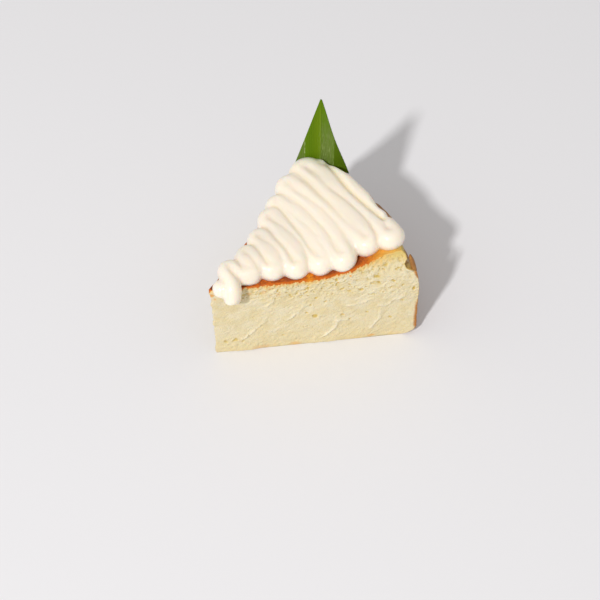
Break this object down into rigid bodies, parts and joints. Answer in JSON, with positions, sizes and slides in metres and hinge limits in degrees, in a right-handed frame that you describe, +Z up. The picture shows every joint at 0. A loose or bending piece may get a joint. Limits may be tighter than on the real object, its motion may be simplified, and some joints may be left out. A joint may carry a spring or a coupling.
{
  "type": "slice of basque cheesecake",
  "caption": "Tall cheesecake wedge with a browned sunken top and raised rim, covered by a piped zigzag of cream, with a pointed pleated leaf standing at the back. A dessert portion.",
  "frame": {"origin": "under the middle of the whole object's box, on the plane that the slice rests on", "axes": "+Z up, +X from the tip of the wedge to its round rim, +Y across the wedge towards the cut face at the back"},
  "size_m": [0.1006, 0.0928, 0.0986],
  "materials": {
    "cake": "moist pale crumb with a browned crust on the top and the wall",
    "cream": "smooth ivory cream with a soft gloss",
    "leaf": "satin green leaf with fine veins along it"
  },
  "bodies": {
    "root": {"cake": "cake", "cream": "cream", "leaf": "leaf"}
  },
  "joints": []
}
